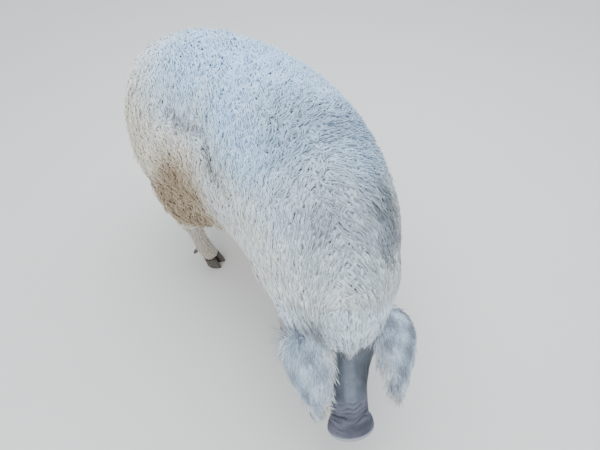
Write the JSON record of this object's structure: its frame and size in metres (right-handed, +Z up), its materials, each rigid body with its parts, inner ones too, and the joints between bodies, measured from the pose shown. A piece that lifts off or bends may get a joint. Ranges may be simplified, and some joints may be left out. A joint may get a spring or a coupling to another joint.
{
  "type": "woolly domestic pig",
  "caption": "Still, life-size cream woolly pig with lop ears and dark hooves, standing with its head low and its body curved to its right.",
  "frame": {"origin": "on the floor under the middle of the pig's bounding box, the soles of the hooves at Z = 0", "axes": "+X forward along the line from the tail to the snout, +Y to the pig's left, +Z up"},
  "size_m": [1.2611, 0.6295, 0.8517],
  "materials": {
    "wool": "dense curly cream wool, matte",
    "face": "slate grey skin with short pale hair",
    "ear": "short cool white hair over grey skin",
    "leg": "short cream hair, dusty",
    "horn": "dark worn horn, satin",
    "eye": "dark wet eye, glossy"
  },
  "bodies": {
    "root": {"head": "face", "neck": "wool", "torso_fore": "wool", "torso_rear": "wool", "tail": "wool", "ear_left": "ear", "ear_right": "ear", "eye_left": "eye", "eye_right": "eye", "leg_fore_right": "leg", "leg_fore_left": "leg", "leg_hind_right": "leg", "leg_hind_left": "leg", "hoof_fore_right_right": "horn", "hoof_fore_right_left": "horn", "hoof_fore_left_right": "horn", "hoof_fore_left_left": "horn", "hoof_hind_right_right": "horn", "hoof_hind_right_left": "horn", "hoof_hind_left_right": "horn", "hoof_hind_left_left": "horn", "dewclaw_fore_right_right": "horn", "dewclaw_fore_right_left": "horn", "dewclaw_fore_left_right": "horn", "dewclaw_fore_left_left": "horn", "dewclaw_hind_right_right": "horn", "dewclaw_hind_right_left": "horn", "dewclaw_hind_left_right": "horn", "dewclaw_hind_left_left": "horn"}
  },
  "joints": []
}
